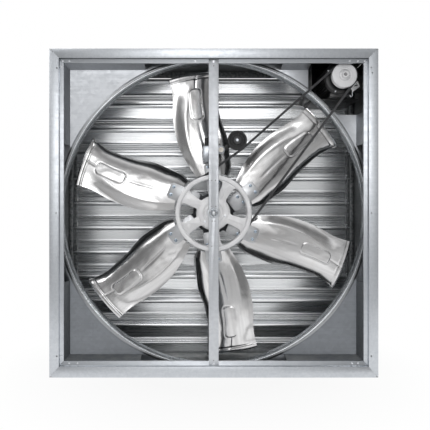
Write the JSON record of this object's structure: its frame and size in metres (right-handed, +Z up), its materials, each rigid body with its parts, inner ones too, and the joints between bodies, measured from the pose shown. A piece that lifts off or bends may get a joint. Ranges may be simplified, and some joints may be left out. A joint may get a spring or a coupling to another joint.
{
  "type": "poultry exhaust fan",
  "caption": "Square belt-driven exhaust fan with a galvanised box, polished blades in an inlet ring, spoked pulley, sprung belt idler, corner motor and gravity louvres.",
  "frame": {"origin": "middle of the box's footprint, on the ground that it stands on", "axes": "+Z up, +Y along the airflow from the intake to the louvres, +X to the right seen from the intake side"},
  "size_m": [1.38, 0.4, 1.38],
  "materials": {
    "galvanised_sheet": "hot-dip galvanised, satin",
    "bright_zinc": "bright zinc plated",
    "polished_stainless": "stainless, polished",
    "louvre_sheet": "galvanised, bright",
    "cast_aluminium": "cast, matte",
    "dark_steel": "oiled steel",
    "black_paint": "black enamel, semi-gloss",
    "black_plastic": "moulded, matte",
    "belt_rubber": "matte"
  },
  "bodies": {
    "box": {"casing_top": "galvanised_sheet", "casing_bottom": "galvanised_sheet", "casing_left": "galvanised_sheet", "casing_right": "galvanised_sheet", "corner_plate_top_left": "galvanised_sheet", "corner_plate_bottom_left": "galvanised_sheet", "corner_plate_bottom_right": "galvanised_sheet", "corner_plate_motor_upper": "galvanised_sheet", "corner_plate_motor_lower": "galvanised_sheet", "inlet_ring": "galvanised_sheet", "rear_bar": "galvanised_sheet", "shutter_frame_left": "galvanised_sheet", "shutter_frame_right": "galvanised_sheet", "shutter_head_rail": "galvanised_sheet", "tensioner_bracket": "galvanised_sheet", "front_bar": "bright_zinc", "axle": "bright_zinc", "axle_nut_front": "bright_zinc", "axle_nut_rear": "bright_zinc", "hook_bracket": "bright_zinc", "bearing_front": "dark_steel", "bearing_rear": "dark_steel", "tensioner_spring": "dark_steel", "motor_body": "black_paint", "motor_front_cap": "black_paint", "motor_rear_cap": "black_paint", "motor_bracket": "black_paint", "terminal_box": "black_plastic", "v_belt": "belt_rubber"},
    "rotor": {"fan_pulley": "cast_aluminium", "blade_spider": "galvanised_sheet", "blade_1": "polished_stainless", "blade_2": "polished_stainless", "blade_3": "polished_stainless", "blade_4": "polished_stainless", "blade_5": "polished_stainless", "blade_6": "polished_stainless", "blade_bracket_1": "galvanised_sheet", "blade_bracket_2": "galvanised_sheet", "blade_bracket_3": "galvanised_sheet", "blade_bracket_4": "galvanised_sheet", "blade_bracket_5": "galvanised_sheet", "blade_bracket_6": "galvanised_sheet"},
    "motor_rotor": {"motor_shaft": "dark_steel", "motor_pulley": "cast_aluminium"},
    "idler_arm": {"tensioner_arm": "black_paint", "idler_bolt": "bright_zinc"},
    "idler": {"idler_wheel": "black_plastic"},
    "shutter_01": {"shutter_01": "louvre_sheet"},
    "shutter_02": {"shutter_02": "louvre_sheet"},
    "shutter_03": {"shutter_03": "louvre_sheet"},
    "shutter_04": {"shutter_04": "louvre_sheet"},
    "shutter_05": {"shutter_05": "louvre_sheet"},
    "shutter_06": {"shutter_06": "louvre_sheet"},
    "shutter_07": {"shutter_07": "louvre_sheet"},
    "shutter_08": {"shutter_08": "louvre_sheet"},
    "shutter_09": {"shutter_09": "louvre_sheet"},
    "shutter_10": {"shutter_10": "louvre_sheet"},
    "shutter_11": {"shutter_11": "louvre_sheet"},
    "link_rod": {"link_rod": "galvanised_sheet"}
  },
  "joints": [
    {"name": "fan_spin", "type": "hinge", "parent": "box", "child": "rotor", "pos_m": [0, -0.148, 0.69], "axis": [0, -1, 0], "continuous": true},
    {"name": "motor_spin", "type": "hinge", "parent": "box", "child": "motor_rotor", "pos_m": [0.56, -0.148, 1.279], "axis": [0, -1, 0], "continuous": true},
    {"name": "tensioner_swing", "type": "hinge", "parent": "box", "child": "idler_arm", "pos_m": [0.03225, -0.148, 0.95961], "axis": [0, -1, 0], "range_deg": [0, 15], "stiffness_Nm_per_rad": 12, "springref_deg": -17.19, "deforming": ["tensioner_spring"]},
    {"name": "idler_spin", "type": "hinge", "parent": "idler_arm", "child": "idler", "pos_m": [0.10193, -0.148, 1.00148], "axis": [0, -1, 0], "continuous": true},
    {"name": "shutter_01_open", "type": "hinge", "parent": "box", "child": "shutter_01", "pos_m": [0, 0.172, 1.334], "axis": [1, 0, 0], "range_deg": [0, 80]},
    {"name": "shutter_02_open", "type": "hinge", "parent": "box", "child": "shutter_02", "pos_m": [0, 0.172, 1.215], "axis": [1, 0, 0], "range_deg": [0, 80]},
    {"name": "shutter_03_open", "type": "hinge", "parent": "box", "child": "shutter_03", "pos_m": [0, 0.172, 1.096], "axis": [1, 0, 0], "range_deg": [0, 80]},
    {"name": "shutter_04_open", "type": "hinge", "parent": "box", "child": "shutter_04", "pos_m": [0, 0.172, 0.977], "axis": [1, 0, 0], "range_deg": [0, 80]},
    {"name": "shutter_05_open", "type": "hinge", "parent": "box", "child": "shutter_05", "pos_m": [0, 0.172, 0.858], "axis": [1, 0, 0], "range_deg": [0, 80]},
    {"name": "shutter_06_open", "type": "hinge", "parent": "box", "child": "shutter_06", "pos_m": [0, 0.172, 0.739], "axis": [1, 0, 0], "range_deg": [0, 80]},
    {"name": "shutter_07_open", "type": "hinge", "parent": "box", "child": "shutter_07", "pos_m": [0, 0.172, 0.62], "axis": [1, 0, 0], "range_deg": [0, 80]},
    {"name": "shutter_08_open", "type": "hinge", "parent": "box", "child": "shutter_08", "pos_m": [0, 0.172, 0.501], "axis": [1, 0, 0], "range_deg": [0, 80]},
    {"name": "shutter_09_open", "type": "hinge", "parent": "box", "child": "shutter_09", "pos_m": [0, 0.172, 0.382], "axis": [1, 0, 0], "range_deg": [0, 80]},
    {"name": "shutter_10_open", "type": "hinge", "parent": "box", "child": "shutter_10", "pos_m": [0, 0.172, 0.263], "axis": [1, 0, 0], "range_deg": [0, 80]},
    {"name": "shutter_11_open", "type": "hinge", "parent": "box", "child": "shutter_11", "pos_m": [0, 0.172, 0.144], "axis": [1, 0, 0], "range_deg": [0, 80]},
    {"name": "link_rod_turn", "type": "hinge", "parent": "shutter_01", "child": "link_rod", "pos_m": [0.6575, 0.15515, 1.34814], "axis": [1, 0, 0], "range_deg": [-80, 0]}
  ],
  "couplings": [
    {"joint": "motor_spin", "follows": "fan_spin", "ratio": 2.9231},
    {"joint": "idler_spin", "follows": "fan_spin", "ratio": -3.6277},
    {"joint": "link_rod_turn", "follows": "shutter_01_open", "ratio": -1},
    {"joint": "shutter_02_open", "follows": "shutter_01_open", "ratio": 1},
    {"joint": "shutter_03_open", "follows": "shutter_01_open", "ratio": 1},
    {"joint": "shutter_04_open", "follows": "shutter_01_open", "ratio": 1},
    {"joint": "shutter_05_open", "follows": "shutter_01_open", "ratio": 1},
    {"joint": "shutter_06_open", "follows": "shutter_01_open", "ratio": 1},
    {"joint": "shutter_07_open", "follows": "shutter_01_open", "ratio": 1},
    {"joint": "shutter_08_open", "follows": "shutter_01_open", "ratio": 1},
    {"joint": "shutter_09_open", "follows": "shutter_01_open", "ratio": 1},
    {"joint": "shutter_10_open", "follows": "shutter_01_open", "ratio": 1},
    {"joint": "shutter_11_open", "follows": "shutter_01_open", "ratio": 1}
  ]
}
